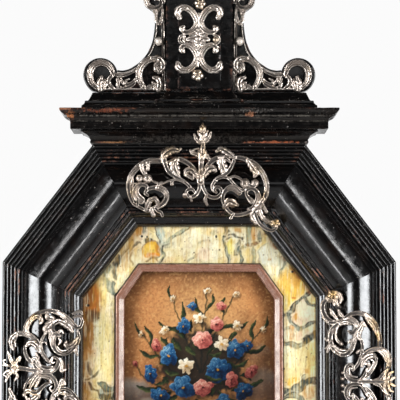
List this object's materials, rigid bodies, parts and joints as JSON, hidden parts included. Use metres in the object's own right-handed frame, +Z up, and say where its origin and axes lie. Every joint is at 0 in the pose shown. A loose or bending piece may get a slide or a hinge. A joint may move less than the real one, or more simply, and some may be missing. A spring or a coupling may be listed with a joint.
{
  "type": "portable altar shrine",
  "caption": "Ebonised octagonal house altar with a moulded frame round a marbled panel and picture, cornice with scrolled attic, pierced silver mounts and a moulded base on bun feet.",
  "frame": {"origin": "on the surface the feet stand on, under the middle of the base", "axes": "+Z up, the front faces -Y, +X to the right seen from the front"},
  "size_m": [0.396, 0.156, 0.8172],
  "materials": {
    "ebonised_wood": "polished black, worn to red-brown at the edges",
    "carcass_wood": "bare aged softwood",
    "painted_marble": "yellow marbled paint",
    "painted_slip": "red-brown polished paint",
    "painted_copper": "oil paint",
    "silver": "chased sheet silver, tarnished in the hollows",
    "brass": "dull",
    "iron": "dark"
  },
  "bodies": {
    "altar": {"attic_plinth_left": "ebonised_wood", "attic_plinth_right": "ebonised_wood", "back_panel": "carcass_wood", "backing_board": "carcass_wood", "base_block": "ebonised_wood", "base_cap": "ebonised_wood", "base_mould_front": "ebonised_wood", "base_mould_left": "ebonised_wood", "base_mould_right": "ebonised_wood", "base_slab": "ebonised_wood", "bracket_left": "ebonised_wood", "bracket_mount_left": "silver", "bracket_mount_right": "silver", "bracket_right": "ebonised_wood", "bracket_stud_left": "silver", "bracket_stud_right": "silver", "carcass_frame": "carcass_wood", "cornice_bed_front": "ebonised_wood", "cornice_bed_left": "ebonised_wood", "cornice_bed_right": "ebonised_wood", "cornice_core": "carcass_wood", "cornice_corona_front": "ebonised_wood", "cornice_corona_left": "ebonised_wood", "cornice_corona_right": "ebonised_wood", "crest_mount": "silver", "cross": "ebonised_wood", "finial": "ebonised_wood", "foot_front_left": "ebonised_wood", "foot_front_right": "ebonised_wood", "foot_rear_left": "ebonised_wood", "foot_rear_right": "ebonised_wood", "hanger_eye": "iron", "lower_mount": "silver", "marble_panel": "painted_marble", "picture_plate": "painted_copper", "picture_slip": "painted_slip", "pilaster": "ebonised_wood", "pilaster_base": "ebonised_wood", "pilaster_cap": "ebonised_wood", "pilaster_mount": "silver", "pilaster_panel": "ebonised_wood", "rail_bottom": "ebonised_wood", "rail_left": "ebonised_wood", "rail_lower_left": "ebonised_wood", "rail_lower_right": "ebonised_wood", "rail_right": "ebonised_wood", "rail_top": "ebonised_wood", "rail_upper_left": "ebonised_wood", "rail_upper_right": "ebonised_wood", "side_mount_left": "silver", "side_mount_right": "silver", "turn_button_screw_bottom": "iron", "turn_button_screw_left": "iron", "turn_button_screw_right": "iron", "turn_button_screw_top": "iron"},
    "turn_button_bottom": {"turn_button_bottom": "brass"},
    "turn_button_left": {"turn_button_left": "brass"},
    "turn_button_right": {"turn_button_right": "brass"},
    "turn_button_top": {"turn_button_top": "brass"},
    "hanger_ring": {"hanger_ring": "brass"}
  },
  "joints": [
    {"name": "turn_button_left_pivot", "type": "hinge", "parent": "altar", "child": "turn_button_left", "pos_m": [-0.133, 0.0321, 0.321], "axis": [0, 1, 0], "continuous": true},
    {"name": "turn_button_right_pivot", "type": "hinge", "parent": "altar", "child": "turn_button_right", "pos_m": [0.133, 0.0321, 0.321], "axis": [0, 1, 0], "continuous": true},
    {"name": "turn_button_top_pivot", "type": "hinge", "parent": "altar", "child": "turn_button_top", "pos_m": [0, 0.0321, 0.4855], "axis": [0, 1, 0], "continuous": true},
    {"name": "turn_button_bottom_pivot", "type": "hinge", "parent": "altar", "child": "turn_button_bottom", "pos_m": [0, 0.0321, 0.1565], "axis": [0, 1, 0], "continuous": true},
    {"name": "hanger_ring_swing", "type": "hinge", "parent": "altar", "child": "hanger_ring", "pos_m": [0, 0.0362, 0.533], "axis": [1, 0, 0], "range_deg": [-8, 170]}
  ]
}
